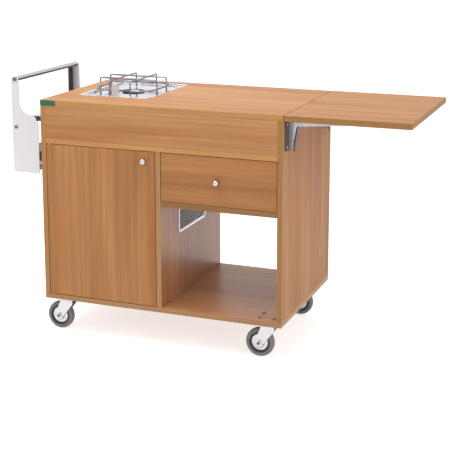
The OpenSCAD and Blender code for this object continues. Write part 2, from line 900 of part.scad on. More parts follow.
module end_plate() {
    flange_top = post_top - post_w / 2;
    difference() {
        union() {
            slab(rack_y0, rack_t) end_outline();
            translate([-rack_out, rack_y0, plate_low])
                cube([rack_t, flange_w, flange_top - plate_low]);
            translate([-rack_in - rack_t, rack_y0, plate_low + hanger_z - 4])
                cube([rack_t, flange_w / 2, hanger_h + 8]);
            translate([-rack_out + post_w + post_curve, rack_y0, plate_top - rack_t])
                cube([rack_out - post_w - post_curve, ear_l, rack_t]);
        }
        y_rod(4 + run_fit, rack_y0 - 1, rack_y0 + 5, post_mid_x, handle_z);
        y_rod(3 + run_fit, rack_y0 - 1, rack_y0 + 5, post_mid_x, plate_low + rail_z);
    }
}

module rack_front_end() {
    color(steel) place() end_plate();
}

module rack_rear_end() {
    color(steel) place() translate([0, cabinet_d, 0]) mirror([0, 1, 0]) end_plate();
}

module rack_handle() {
    color(steel) place() difference() {
        y_rod(handle_r, rack_y0 + rack_t, rack_y1 - rack_t, post_mid_x, handle_z);
        y_rod(4 + run_fit, rack_y0, rack_y0 + 20, post_mid_x, handle_z);
        y_rod(4 + run_fit, rack_y1 - 20, rack_y1, post_mid_x, handle_z);
    }
}

// One folded sheet that the bottles stand in: outer lip, floor and inner wall
module rack_tray() {
    out_x = -rack_out + rack_t + part_gap;
    in_x = -rack_in - 2 * rack_t - part_gap;
    color(steel) place()
        slab(rack_y0 + rack_t, rack_l - 2 * rack_t) {
            translate([out_x, tray_z]) square([in_x + rack_t - out_x, rack_t]);
            translate([out_x, tray_z]) square([rack_t, tray_lip]);
            translate([in_x, tray_z]) square([rack_t, tray_back]);
        }
}

module rack_rail() {
    color(steel) place() difference() {
        y_rod(rail_r, rack_y0 + rack_t, rack_y1 - rack_t, post_mid_x, plate_low + rail_z);
        y_rod(3 + run_fit, rack_y0, rack_y0 + 20, post_mid_x, plate_low + rail_z);
        y_rod(3 + run_fit, rack_y1 - 20, rack_y1, post_mid_x, plate_low + rail_z);
    }
}

// Blocks between the rack and the cabinet: two under the ears and two lower down
module rack_hangers() {
    under = plate_top - rack_t;
    low = plate_low + hanger_z;
    color(dark) place() for (y = [rack_y0 + rack_t + 1, rack_y1 - rack_t - 1 - block_l]) {
        slab(y, block_l) polygon([
            [-rack_in - notch_w, under], [0, under], [0, under - hanger_h],
            [-rack_in / 3, under - notch_w], [-rack_in - notch_w / 4, under - notch_w]
        ]);
        slab(y, block_l) polygon([
            [-rack_in, low + hanger_h - 4], [0, low + hanger_h],
            [0, low - 4], [-rack_in * 0.85, low]
        ]);
    }
}

module dome_bolt(head_r, shank_r, shank_l) {
    intersection() {
        translate([0, 0, -head_r + 4]) sphere(head_r * 1.25);
        cylinder(r = head_r, h = 2 * head_r);
    }
    translate([0, 0, -shank_l]) cylinder(r = shank_r, h = shank_l);
}

module rack_bolts() {
    color(steel) place() {
        for (b = [[handle_z, 8, 4], [plate_low + rail_z, 6, 3]]) {
            translate([post_mid_x, rack_y0, b[0]]) rotate([90, 0, 0]) dome_bolt(b[1], b[2], 16);
            translate([post_mid_x, rack_y1, b[0]]) rotate([-90, 0, 0]) dome_bolt(b[1], b[2], 16);
        }
    }
}

// Screw heads on the bracket legs, caster plates and the vent grille
module screw_head(r) {
    intersection() {
        cylinder(r = r, h = r);
        translate([0, 0, -r * 0.75]) sphere(r * 1.25);
    }
}

module screws() {
    head_t = 3;
    nut_t = 4;
    screw_in = 12;
    vent_in = vent_frame / 2;
    color(steel) place() {
        at_brackets() for (z = [0, screw_in - leg_drop]) {
            translate([bracket_t, -(leg_w + wing_w) / 2, z]) rotate([0, 90, 0]) screw_head(3.5);
        }
        for (y = [vent_in, vent_l - vent_in], z = [vent_in, vent_h - vent_in]) {
            translate([bay_x + 2 * vent_t, vent_y + y, vent_z + z]) rotate([0, 90, 0]) screw_head(2.5);
        }
        at_caster_bolts() {
            translate([0, 0, caster_h - plate_t - nut_t - 1])
                cylinder(r = caster_bolt_r, h = board_t + plate_t + nut_t + 2);
            translate([0, 0, base_z]) cylinder(r = caster_bolt_r + 3, h = head_t);
            translate([0, 0, caster_h - plate_t - nut_t])
                cylinder(r = caster_bolt_r + 2.5, h = nut_t, $fn = 6);
        }
    }
}

// Plate with its king pin
module caster_plates() {
    plate_x = bolt_gap_x + 2 * plate_margin;
    plate_y = bolt_gap_y + 2 * plate_margin;
    color(steel) place() difference() {
        for (p = swivel_points) translate([p[0], p[1], 0]) {
            translate([-plate_x / 2, -plate_y / 2, caster_h - plate_t])
                linear_extrude(plate_t) round_rect(plate_x, plate_y, 8);
            translate([0, 0, crown_z - 5]) cylinder(r = king_r, h = caster_h - crown_z + 5 - 1);
            translate([0, 0, crown_z - 5]) cylinder(r = king_r + 4, h = 5 - part_gap);
        }
        at_caster_bolts() translate([0, 0, caster_h - plate_t - 1])
            cylinder(r = caster_bolt_r + run_fit, h = plate_t + 2);
    }
}

// Fork cheek in side view, from the crown to the axle
module cheek_outline() {
    translate([-caster_trail, wheel_r]) circle(axle_r + 9);
    polygon([
        [-head_r + 3, crown_z + 1], [head_r - 3, crown_z + 1], [head_r - 3, crown_z - 12],
        [-caster_trail + axle_r + 8, wheel_r - 6], [-caster_trail - axle_r - 8, wheel_r + 6]
    ]);
}

// Swivel head, crown and two cheeks, with the axle bolt through them
module fork(i) {
    color(steel) place() translate([swivel_points[i][0], swivel_points[i][1], 0]) {
        difference() {
            union() {
                translate([0, 0, crown_z]) cylinder(r = head_r, h = head_z - crown_z);
                translate([-head_r + 3, -leg_in - fork_t, crown_z])
                    cube([2 * head_r - 6, 2 * (leg_in + fork_t), fork_t + 1]);
                for (y = [-leg_in - fork_t, leg_in]) {
                    slab(y, fork_t) cheek_outline();
                }
            }
            translate([0, 0, crown_z - 1]) cylinder(r = king_r + run_fit, h = 30);
            y_rod(axle_r + run_fit, -40, 40, -caster_trail, wheel_r);
        }
        y_rod(axle_r, -leg_in - fork_t - 1, leg_in + fork_t + 1, -caster_trail, wheel_r);
        y_rod(axle_r + 3.5, -leg_in - fork_t - 5, -leg_in - fork_t - part_gap / 2, -caster_trail, wheel_r);
        y_rod(axle_r + 3.5, leg_in + fork_t + part_gap / 2, leg_in + fork_t + 5, -caster_trail, wheel_r);
    }
}

module wheel_frame(i) {
    place() translate([swivel_points[i][0] - caster_trail, swivel_points[i][1], wheel_r])
        rotate([90, 0, 0]) children();
}

// Hub: a boss on the axle, a shallow dished disc and a rim under the tyre
module hub(i) {
    rim_half = tyre_w / 2 - 3;
    web_half = 6;
    bore = axle_r + run_fit;
    color(steel) wheel_frame(i) rotate_extrude() {
        translate([bore, -leg_in + part_gap]) square([5, 2 * (leg_in - part_gap)]);
        polygon([
            [bore, -web_half - 2], [hub_r - 6, -web_half], [hub_r - 4, -rim_half], [hub_r, -rim_half],
            [hub_r, rim_half], [hub_r - 4, rim_half], [hub_r - 6, web_half], [bore, web_half + 2]
        ]);
    }
}

// Tyre with round shoulders, stepped back where it meets the hub
module tyre(i) {
    shoulder = 6;
    step = 3;
    half = tyre_w / 2;
    color(dark) wheel_frame(i) rotate_extrude() {
        translate([hub_r, step - half]) square([step, tyre_w - 2 * step]);
        translate([hub_r + step, -half]) square([wheel_r - shoulder - hub_r - step, tyre_w]);
        translate([wheel_r - shoulder, shoulder - half]) square([shoulder, tyre_w - 2 * shoulder]);
        for (y = [shoulder - half, half - shoulder]) {
            translate([wheel_r - shoulder, y]) circle(shoulder);
        }
    }
}

module front_left_fork() { fork(0); }
module front_right_fork() { fork(1); }
module rear_left_fork() { fork(2); }
module rear_right_fork() { fork(3); }
module front_left_hub() { hub(0); }
module front_right_hub() { hub(1); }
module rear_left_hub() { hub(2); }
module rear_right_hub() { hub(3); }
module front_left_tyre() { tyre(0); }
module front_right_tyre() { tyre(1); }
module rear_left_tyre() { tyre(2); }
module rear_right_tyre() { tyre(3); }

bottom_board();
left_side();
right_side();
divider();
burner_shelf();
drawer_shelf();
front_apron();
rear_apron();
cupboard_back();
drawer_bay_back();
top_board();
vent_grille();
door();
door_knob();
door_pins();
door_catch();
strike_plate();
drawer_front();
drawer_sides();
drawer_back();
drawer_bottom();
drawer_knob();
drawer_rails();
cabinet_rails();
leaf_board();
bracket_legs();
bracket_arms();
bracket_pins();
front_lock_lever();
rear_lock_lever();
hob_tray();
burner_base();
burner_crown();
burner_cap();
pan_support();
gas_tap();
tap_stem();
gas_knob();
gas_pipe();
rack_front_end();
rack_rear_end();
rack_handle();
rack_tray();
rack_rail();
rack_hangers();
rack_bolts();
screws();
caster_plates();
front_left_fork();
front_right_fork();
rear_left_fork();
rear_right_fork();
front_left_hub();
front_right_hub();
rear_left_hub();
rear_right_hub();
front_left_tyre();
front_right_tyre();
rear_left_tyre();
rear_right_tyre();
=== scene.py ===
# %% [markdown]
# # A flambe cart in beech and steel
# The cart is a cabinet of laminated beech boards on four swivel casters. A gas burner is let into
# its top, a leaf folds up on two steel brackets, and a sheet steel rack for bottles hangs on its
# left side. The construction is already modelled and packed, so this notebook dresses it. It gives
# each board and each metal its finish, rounds the edges that show, and adds the few small pieces
# that only matter to the eye.
#
# Lengths are in metres. x runs along the cart to the right, y from its front to its back, and z
# upwards from the floor. In tables the three axes are 0, 1 and 2.

# %% Load the cart
import bmesh
import bpy
import json
import math
from mathutils import Matrix, Vector

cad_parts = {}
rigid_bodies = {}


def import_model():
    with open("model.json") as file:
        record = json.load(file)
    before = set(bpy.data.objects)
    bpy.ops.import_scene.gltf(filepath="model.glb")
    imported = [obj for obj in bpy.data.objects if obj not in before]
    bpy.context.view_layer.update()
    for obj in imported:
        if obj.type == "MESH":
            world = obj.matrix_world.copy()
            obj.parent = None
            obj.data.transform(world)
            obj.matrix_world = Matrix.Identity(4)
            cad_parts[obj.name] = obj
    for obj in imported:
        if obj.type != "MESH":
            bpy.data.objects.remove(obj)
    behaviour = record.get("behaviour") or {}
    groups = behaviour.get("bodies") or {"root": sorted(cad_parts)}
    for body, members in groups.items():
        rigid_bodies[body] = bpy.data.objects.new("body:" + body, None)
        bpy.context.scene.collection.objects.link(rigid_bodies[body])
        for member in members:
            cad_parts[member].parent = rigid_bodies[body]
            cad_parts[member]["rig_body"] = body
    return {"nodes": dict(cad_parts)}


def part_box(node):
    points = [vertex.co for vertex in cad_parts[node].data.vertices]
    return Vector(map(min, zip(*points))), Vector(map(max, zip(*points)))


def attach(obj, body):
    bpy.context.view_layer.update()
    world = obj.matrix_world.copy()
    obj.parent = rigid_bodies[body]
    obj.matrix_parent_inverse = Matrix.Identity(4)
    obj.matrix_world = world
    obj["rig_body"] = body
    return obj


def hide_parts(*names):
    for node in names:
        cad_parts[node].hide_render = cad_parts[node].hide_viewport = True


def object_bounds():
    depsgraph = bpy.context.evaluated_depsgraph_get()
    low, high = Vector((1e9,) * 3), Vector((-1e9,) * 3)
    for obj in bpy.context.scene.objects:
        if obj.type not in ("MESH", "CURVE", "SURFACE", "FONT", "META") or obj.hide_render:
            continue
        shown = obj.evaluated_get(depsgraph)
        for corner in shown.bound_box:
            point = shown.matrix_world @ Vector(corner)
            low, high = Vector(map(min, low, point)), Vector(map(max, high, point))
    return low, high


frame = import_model()
cad_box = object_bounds()
nodes = frame["nodes"]
print("cart box, m:", [round(high - low, 3) for low, high in zip(*cad_box)])

# %% [markdown]
# ## Camera
# The picture was taken with a long lens from the front right, a little above the top of the cart.
# The camera stands four metres away and looks down by about eleven degrees. It could look further
# down to take the wheels in, but the upright boards would then lean together at the bottom. A shift
# that lowers the frame keeps them nearly parallel, as they are in the picture.

# %% Place the camera
LOOK_DOWN = math.radians(10.94)
LOOK_LEFT = math.radians(21.08)

camera_data = bpy.data.cameras.new("camera")
camera_data.sensor_width = 36
camera_data.lens = 92.9
camera_data.shift_y = -0.2
camera = bpy.data.objects.new("camera", camera_data)
bpy.context.scene.collection.objects.link(camera)
camera.location = (1.437, -3.713, 1.475)
camera.rotation_euler = (math.radians(90) - LOOK_DOWN, 0, LOOK_LEFT)
bpy.context.scene.camera = camera
print("camera from the cart, m:", round(camera.location.length, 2))

# %% [markdown]
# ## Node maths
# A material is a tree of nodes. It could be wired node by node, but its maths is easier to read as
# an expression. A small class wraps an output socket, so that `1 - mask * 0.5` adds the Math nodes
# by itself. Colours aren't added this way, because a Math node would turn them grey.

# %% Wrap a socket
class Link:
    """An output socket that takes part in Python expressions."""

    def __init__(self, finish, socket):
        self.finish = finish
        self.socket = socket

    def math(self, operation, *others):
        values = dict(enumerate((self, *others)))
        return self.finish.node("ShaderNodeMath", values, operation=operation)

    def flipped(self, operation, other):
        return self.finish.node("ShaderNodeMath", {0: other, 1: self}, operation=operation)

    def __add__(self, other):
        return self.math("ADD", other)

    def __sub__(self, other):
        return self.math("SUBTRACT", other)

    def __mul__(self, other):
        return self.math("MULTIPLY", other)

    def __rsub__(self, other):
        return self.flipped("SUBTRACT", other)

    def clamp(self):
        return self.math("MAXIMUM", 0.0).math("MINIMUM", 1.0)

    def above(self, edge, soft):
        """0 below edge, 1 above edge + soft."""
        return ((self - edge) * (1 / soft)).clamp()

    __radd__ = __add__
    __rmul__ = __mul__


# %% [markdown]
# Every other node comes from one method of a second class, which holds the tree. It takes a node's
# type, its settings, which are set first, and the values or links of its sockets. The short methods
# below it are the few nodes that nearly every finish uses.

# %% Wrap a tree of nodes
class Finish:
    """A material or a world under construction."""

    def __init__(self, owner):
        owner.use_nodes = True
        self.owner = owner
        self.tree = owner.node_tree
        self.tree.nodes.clear()

    def node(self, kind, values=None, out=0, stops=None, **settings):
        made = self.tree.nodes.new(kind)
        for name, setting in settings.items():
            setattr(made, name, setting)
        if stops:
            ramp = made.color_ramp.elements
            while len(ramp) < len(stops):
                ramp.new(1)
            for element, (place, colour) in zip(ramp, stops):
                element.position = place
                element.color = (*colour, 1)
        for key, value in (values or {}).items():
            entry = self.entry(made, key)
            if isinstance(value, Link):
                self.tree.links.new(value.socket, entry)
            elif hasattr(entry.default_value, "__len__") and len(entry.default_value) == 4:
                entry.default_value = (*value, 1)
            else:
                entry.default_value = value
        return Link(self, made.outputs[out]) if made.outputs else made

    def entry(self, made, key):
        if isinstance(key, int):
            return made.inputs[key]
        return next(s for s in made.inputs if s.identifier == key or s.name == key)

    def coordinates(self, kind):
        """The x, y and z of one output of the Texture Coordinate node."""
        spot = self.node("ShaderNodeTexCoord", out=kind)
        parts = self.node("ShaderNodeSeparateXYZ", {0: spot})
        return [Link(self, output) for output in parts.socket.node.outputs]

    def place(self):
        """The three object coordinates, which are the cart's own."""
        return self.coordinates("Object")

    def normal(self):
        """How far the surface faces along each axis of the cart, from 0 to 1."""
        return [part.math("ABSOLUTE") for part in self.coordinates("Normal")]

    def vector(self, x, y, z):
        return self.node("ShaderNodeCombineXYZ", {0: x, 1: y, 2: z})

    def noise(self, x, y, z, detail=3.0):
        values = {"Vector": self.vector(x, y, z), "Scale": 1.0, "Detail": detail}
        return self.node("ShaderNodeTexNoise", values)

    def clouds(self, pace, detail=3.0):
        """Noise without a direction, which changes pace times in a metre."""
        return self.noise(*[part * pace for part in self.place()], detail)

    def mix(self, factor, first, second):
        """A colour between two. The Mix node keeps a set of sockets for each kind of value."""
        values = {"Factor_Float": factor, "A_Color": first, "B_Color": second}
        return self.node("ShaderNodeMix", values, out=2, data_type="RGBA")

    def bump(self, height, distance, strength):
        values = {"Height": height, "Distance": distance, "Strength": strength}
        return self.node("ShaderNodeBump", values)

    def done(self, **values):
        """Ends the tree in the main shader, whose sockets are named with _ for a space."""
        named = {key.replace("_", " "): value for key, value in values.items()}
        shader = self.node("ShaderNodeBsdfPrincipled", named)
        self.node("ShaderNodeOutputMaterial", {"Surface": shader})
        return self.owner


def new_finish(name):
    return Finish(bpy.data.materials.new(name))


# %% [markdown]
# ## Light
# The cart stands in an even white studio. The world lights it from all round, one wide lamp above
# gives the top its brightness, and one from the right lifts the side. A closed white room would
# look the same, but its walls would throw light of their own on the wood. So the white of the
# backdrop is there only for the camera and for reflections.

# %% Light the studio
WORLD_LIGHT = 0.60
BACKDROP = 1.0
WHITE = (1, 1, 1)


def background_seen(finish):
    """1 for the rays that show the background: the camera's and those that metal sends on."""
    seen = finish.node("ShaderNodeLightPath", out="Is Camera Ray")
    for ray in ("Is Glossy Ray", "Is Transmission Ray"):
        seen = seen.math("MAXIMUM", finish.node("ShaderNodeLightPath", out=ray))
    return seen


def studio_world():
    world = Finish(bpy.data.worlds.new("studio"))
    lit = world.node("ShaderNodeBackground", {"Color": WHITE, "Strength": WORLD_LIGHT})
    shown = world.node("ShaderNodeBackground", {"Color": WHITE, "Strength": BACKDROP})
    chosen = world.node("ShaderNodeMixShader", {0: background_seen(world), 1: lit, 2: shown})
    world.node("ShaderNodeOutputWorld", {"Surface": chosen})
    bpy.context.scene.world = world.owner


def soft_lamp(name, place, aim, size, power):
    data = bpy.data.lights.new(name, "AREA")
    data.shape = "RECTANGLE"
    data.size, data.size_y = size
    data.energy = power
    lamp = bpy.data.objects.new(name, data)
    bpy.context.scene.collection.objects.link(lamp)
    lamp.location = place
    lamp.rotation_euler = (Vector(aim) - Vector(place)).to_track_quat("-Z", "Y").to_euler()
    print(name, power, "W")


studio_world()
soft_lamp("lamp_above", (-0.7, -0.7, 3.0), (-0.3, 0, 0.8), (2.2, 2.0), 50)
soft_lamp("lamp_right", (3.2, -1.6, 1.8), (0.2, 0, 0.5), (2.0, 1.8), 22)
bpy.context.scene.view_settings.view_transform = "Standard"

# %% [markdown]
# ## Floor
# The floor is one plain pale sheet that runs out of the frame on all sides. More light would make
# it white, but would wash out the cart's shadow and bleach the wood. So it glows a little, again
# only for the camera and for reflections, and the shadow stays.

# %% Lay the floor
FLOOR_GREY = (0.88, 0.88, 0.88)
FLOOR_GLOW = (0.63, 0.63, 0.635)
FLOOR_HALF = 14
FLOOR_GAP = 0.0005


def floor_finish():
    finish = new_finish("studio_floor")
    glow = finish.mix(background_seen(finish), (0, 0, 0), FLOOR_GLOW)
    return finish.done(Base_Color=FLOOR_GREY, Roughness=0.9, Emission_Color=glow,
                       Emission_Strength=1.0)


floor_mesh = bpy.data.meshes.new("floor")
shape = bmesh.new()
bmesh.ops.create_grid(shape, x_segments=1, y_segments=1, size=FLOOR_HALF)
shape.to_mesh(floor_mesh)
shape.free()
floor = bpy.data.objects.new("floor", floor_mesh)
bpy.context.scene.collection.objects.link(floor)
floor.location.z = cad_box[0].z - FLOOR_GAP
floor_mesh.materials.append(floor_finish())
print("floor, m across:", 2 * FLOOR_HALF)

# %% [markdown]
# ## Beech boards
# Each board is chipboard with a beech decor on its two faces and a narrow band glued round its
# edges. The decor has a broad colour drift, long soft streaks and many short dark flecks. A picture
# of wood would have to be laid out on every face, so all of these are noise in the cart's own
# coordinates, drawn out along the grain. Each layer has two paces: how often it changes in a metre
# along the grain, and how often across it. Drift and streak together make the tone of the wood.

# %% Choose the beech
BEECH_PALE = (0.62, 0.330, 0.146)
BEECH_WARM = (0.52, 0.235, 0.086)
BEECH_DEEP = (0.38, 0.150, 0.052)
BEECH_TONES = [(0.25, BEECH_PALE), (0.52, BEECH_WARM), (0.85, BEECH_DEEP)]
BAND = (0.56, 0.290, 0.106)
BAND_DARK = (0.46, 0.214, 0.070)
DRIFT = (0.9, 9)
STREAK = (1.6, 55)
FINE = (7, 420)
FLECK = (95, 900)
BAND_LINES = (4, 700)
SWAY = (1.1, 5)
SWAY_WIDTH = 0.05
print("decor layers:", [DRIFT, STREAK, FINE, FLECK])

# %% [markdown]
# A layer's share is how much it counts in the colour. The tone's drop brings the sum of drift and
# streak back to the middle of the ramp. Noise lies round a half, so a mask that starts just below
# it lets half of the fine lines through, and one that starts well above it leaves only scattered
# flecks. These are pores, so they are cut in where the lines stand up. A board's seed moves its
# pattern along the grain and, by less, across it.

# %% Weigh the layers
DRIFT_SHARE = 0.9
STREAK_SHARE = 0.75
TONE_DROP = 0.33
FINE_FROM = 0.42
FINE_SHARE = 0.22
FLECK_FROM = 0.70
FLECK_SHARE = 0.30
LINES_FROM = 0.40
LINE_RISE = 0.6
PORE_DROP = 0.8
RELIEF = 0.00012
SEED_ACROSS = 0.37
print("shares:", [DRIFT_SHARE, STREAK_SHARE, FINE_SHARE, FLECK_SHARE])

# %% [markdown]
# The streaks of real veneer wander, so the place across the grain is moved a little by one more
# noise. The band is yellower than the faces and has only fine lines. A mask from the surface's
# direction tells face from band, so one material dresses a whole board. The axes' numbers add up to
# 3, which gives the one across the grain.

# %% Mix the beech
def beech(name, face, grain, seed, tone_and_shade, sheen, painted_band_light):
    """A board whose faces look along axis face, with its grain along axis grain."""
    finish = new_finish(name)
    place = finish.place()
    facing = finish.normal()
    along = place[grain] + seed
    across = place[3 - face - grain] + seed * SEED_ACROSS
    through = place[face]
    sway = finish.noise(along * SWAY[0], across * SWAY[1], seed, detail=2.0) - 0.5
    swayed = across + sway * SWAY_WIDTH

    def layer(pace, side, detail):
        return finish.noise(along * pace[0], side * pace[1], through * pace[1], detail)

    drift = layer(DRIFT, swayed, 2.0)
    streak = layer(STREAK, swayed, 4.0)
    fine = layer(FINE, swayed, 2.0)
    fleck = layer(FLECK, across, 0.0).above(FLECK_FROM, 0.06)
    # Each board's deeper tone goes in here; on the divider it is also painted shade of the bay.
    tone = (drift * DRIFT_SHARE + streak * STREAK_SHARE - TONE_DROP + tone_and_shade).clamp()
    wood = finish.node("ShaderNodeValToRGB", {"Fac": tone}, stops=BEECH_TONES)
    wood = finish.mix(fine.above(FINE_FROM, 0.3) * FINE_SHARE, wood, BEECH_DEEP)
    wood = finish.mix(fleck * FLECK_SHARE, wood, BEECH_DEEP)
    edge = 1 - facing[face].above(0.35, 0.3)
    band = band_colour(finish, along, across, through, facing[grain].above(0.4, 0.2), painted_band_light)
    height = fine * LINE_RISE - fleck * PORE_DROP
    return finish.done(Base_Color=finish.mix(edge, wood, band),
                       Roughness=0.44 + streak * 0.12 + edge * 0.06, Coat_Weight=sheen,
                       Coat_Roughness=0.32, Specular_IOR_Level=0.20,
                       Normal=finish.bump(height, RELIEF, 0.5))


def band_colour(finish, along, across, through, end, painted_band_light):
    """The glued band, whose lines run along it on the long edges and on the ends alike."""
    pace, side = BAND_LINES
    lines_long = finish.noise(along * pace, through * side, across * side, detail=1.0)
    lines_end = finish.noise(across * pace, through * side, 0.0, detail=1.0)
    lines = lines_long * (1 - end) + lines_end * end
    # Each board's band is made lighter or darker here: painted light and shade.
    pale, dark = [tuple(c * painted_band_light for c in colour) for colour in (BAND, BAND_DARK)]
    return finish.mix(lines.above(LINES_FROM, 0.25), pale, dark)


# %% [markdown]
# A board is told apart by two axes, the one that its faces look along and the one of its grain. The
# top, the leaf and the shelves have their grain along the cart, as the apron and drawer front do,
# and the door, the sides and the backs have it upright. No two boards are cut from one sheet, so
# each has its own seed. Three small tables hold what differs further: how deep its colour is, which
# on the divider is also painted shade of the bay, how much its lacquer shines, and how bright its
# band is. The band is the same on every board, so its brightness here is painted light and shade.

# %% Dress the boards
BOARDS = {
    "top_board": (2, 0), "leaf_board": (2, 0), "bottom_board": (2, 0), "burner_shelf": (2, 0),
    "drawer_shelf": (2, 0), "front_apron": (1, 0), "rear_apron": (1, 0), "drawer_front": (1, 0),
    "door": (1, 2), "cupboard_back": (1, 2), "drawer_bay_back": (1, 2),
    "left_side": (0, 2), "right_side": (0, 2), "divider": (0, 2),
}
# A deeper tone for each board; the divider's is also painted shade of the bay.
DEEPER_TONE_AND_SHADE = {"door": 0.11, "drawer_front": 0.14, "divider": 0.18, "leaf_board": 0.11,
          "bottom_board": 0.04, "top_board": 0.03, "right_side": 0.07, "front_apron": -0.04}
SHEEN = {"divider": 0.75, "bottom_board": 0.65, "right_side": 0.0}
# How bright each board's band is painted: above 1 is painted light, below 1 is painted shade.
PAINTED_BAND_LIGHT = {"top_board": 1.07, "burner_shelf": 1.16, "left_side": 0.90, "divider": 0.84,
          "right_side": 0.78, "bottom_board": 0.80, "leaf_board": 0.74, "drawer_shelf": 0.62}
FIRST_SEED = 1.7
SEED_STEP = 2.3


def dress(node, material):
    mesh = nodes[node].data
    mesh.materials.clear()
    mesh.materials.append(material)


for number, (board, (face, grain)) in enumerate(BOARDS.items()):
    wood = beech("beech_" + board, face, grain, FIRST_SEED + SEED_STEP * number,
                 DEEPER_TONE_AND_SHADE.get(board, 0), SHEEN.get(board, 0.05), PAINTED_BAND_LIGHT.get(board, 1.0))
    dress(board, wood)
print("boards:", len(BOARDS))

# %% [markdown]
# ## Birch
# The drawer's box is thin birch, paler and plainer than the beech. Only an open drawer shows it, so
# one stretched noise is enough.

# %% Mix the birch of the drawer's box
BIRCH_PALE = (0.66, 0.48, 0.29)
BIRCH_DEEP = (0.54, 0.36, 0.19)
BIRCH_STREAK = (3, 60)


def birch():
    finish = new_finish("birch")
    x, y, z = finish.place()
    along, across = BIRCH_STREAK
    streak = finish.noise(x * across, y * along, z * across)
    colour = finish.mix(streak, BIRCH_PALE, BIRCH_DEEP)
    return finish.done(Base_Color=colour, Roughness=0.5 + streak * 0.1,
                       Normal=finish.bump(streak, 0.0001, 0.4))


# %% [markdown]
# ## Metals
# The sheet of the rack is brushed: fine parallel scratches in one direction change its roughness
# and its height a little. An anisotropic shader would draw the same streaks of light, but only a
# pattern on the surface stays when the model is exported. Rods and tubes are polished and fittings
# are zinc plated, so these have a faint cloudiness and a few fine scratches without a direction.

# %% Mix the metals
BRUSH_LONG = 6
BRUSH_FINE = 900
SHEET_CLOUDS = 7
CLOUDS = 45
CLOUD_FROM = 0.3
CLOUD_SOFT = 0.4
SPECK_FINER = 22


def brush_marks(finish, axis, detail):
    """Scratches along one axis."""
    pace = [BRUSH_LONG if i == axis else BRUSH_FINE for i in range(3)]
    return finish.noise(*[p * each for p, each in zip(finish.place(), pace)], detail)


def brushed(name, colour, axis, rough, metallic):
    finish = new_finish(name)
    marks = brush_marks(finish, axis, 2.0)
    cloud = finish.clouds(SHEET_CLOUDS, 2.0)
    shade = tuple(c * 0.90 for c in colour)
    return finish.done(Base_Color=finish.mix(marks, colour, shade), Metallic=metallic,
                       Roughness=rough + marks * 0.12 + cloud * 0.05,
                       Normal=finish.bump(marks, 0.00004, 0.35))


def plain_metal(name, colour, rough, cloudy=0.05, metallic=1.0, grain=CLOUDS):
    """Metal whose clouds change grain times in a metre."""
    finish = new_finish(name)
    cloud = finish.clouds(grain)
    speck = finish.clouds(grain * SPECK_FINER, 1.0)
    shade = tuple(c * (1 - 2.2 * cloudy) for c in colour)
    tint = finish.mix(cloud.above(CLOUD_FROM, CLOUD_SOFT), colour, shade)
    return finish.done(Base_Color=tint, Metallic=metallic, Roughness=rough + cloud * cloudy * 1.6,
                       Normal=finish.bump(speck, 0.00003, 0.25))


RACK_SHEET = (0.76, 0.735, 0.755)
front_sheet = brushed("rack_sheet_front", RACK_SHEET, 2, 0.34, 0.55)
sheet_long = brushed("rack_sheet_long", RACK_SHEET, 1, 0.34, 0.25)
# The rods' grey is darker than polished steel: a painted dark reflection of the studio.
rod = plain_metal("polished_rod", (0.29, 0.28, 0.30), 0.14)
chrome = plain_metal("chrome", (0.54, 0.52, 0.53), 0.10, 0.02)
zinc = plain_metal("zinc_plate", (0.50, 0.49, 0.52), 0.28, 0.06)
hub_zinc = plain_metal("hub_zinc", (0.66, 0.65, 0.67), 0.34, 0.06)
satin_knob = plain_metal("satin_knob", (0.70, 0.68, 0.74), 0.30, metallic=0.2)
bolt_grey = plain_metal("bolt_grey", (0.17, 0.165, 0.175), 0.34)
lever_black = plain_metal("black_oxide", (0.05, 0.045, 0.05), 0.35)
brass = plain_metal("brass", (0.72, 0.52, 0.22), 0.24)
cast_alloy = plain_metal("cast_alloy", (0.80, 0.80, 0.80), 0.22, 0.04, grain=120)
print("materials in the file:", len(bpy.data.materials))

# %% [markdown]
# ## Enamel, plastic, paint and rubber
# These are all matt and dark or white, and differ mainly in colour and roughness. A single colour
# would look like a drawing of them, so a slow noise lightens them here and there and a very fine
# one gives them a skin.

# %% Mix the matt finishes
SKIN = 700
SKIN_HEIGHT = 0.00008
SLOW = 14


def matt(name, colour, rough):
    finish = new_finish(name)
    skin = finish.clouds(SKIN, 2.0)
    drift = finish.clouds(SLOW, 2.0)
    lighter = tuple(c * 1.12 + 0.004 for c in colour)
    return finish.done(Base_Color=finish.mix(drift, colour, lighter), Roughness=rough + drift * 0.1,
                       Normal=finish.bump(skin, SKIN_HEIGHT, 0.5))


enamel = matt("burner_enamel", (0.018, 0.018, 0.020), 0.42)
plastic = matt("black_plastic", (0.016, 0.016, 0.018), 0.5)
rail_paint = matt("rail_paint", (0.78, 0.78, 0.75), 0.38)
rubber = matt("grey_rubber", (0.215, 0.200, 0.207), 0.55)
green = matt("green_enamel", (0.012, 0.120, 0.055), 0.40)
print("materials in the file:", len(bpy.data.materials))

# %% [markdown]
# ## Metals with painted shade
# Some pieces show a second, darker tone on one metal: the hob's tray and its well, the burner's
# cap, the handle, a bracket's wing, the rack's post, bolt heads, axle ends and the grille in its
# frame. Only the axle ends are a dark part; all the others are painted shade and reflection. Each
# tone could be a piece of its own, but the real thing is one part. So each has one material, and a
# mask, worked out from the place or the direction of the surface, brings in the second tone.

# %% Mix a metal with a second tone, mostly painted shade
CLOUD_GREY = (0.35, 0.34, 0.36)
CLOUD_SHARE = 0.10
MASK_EDGE = 0.0004


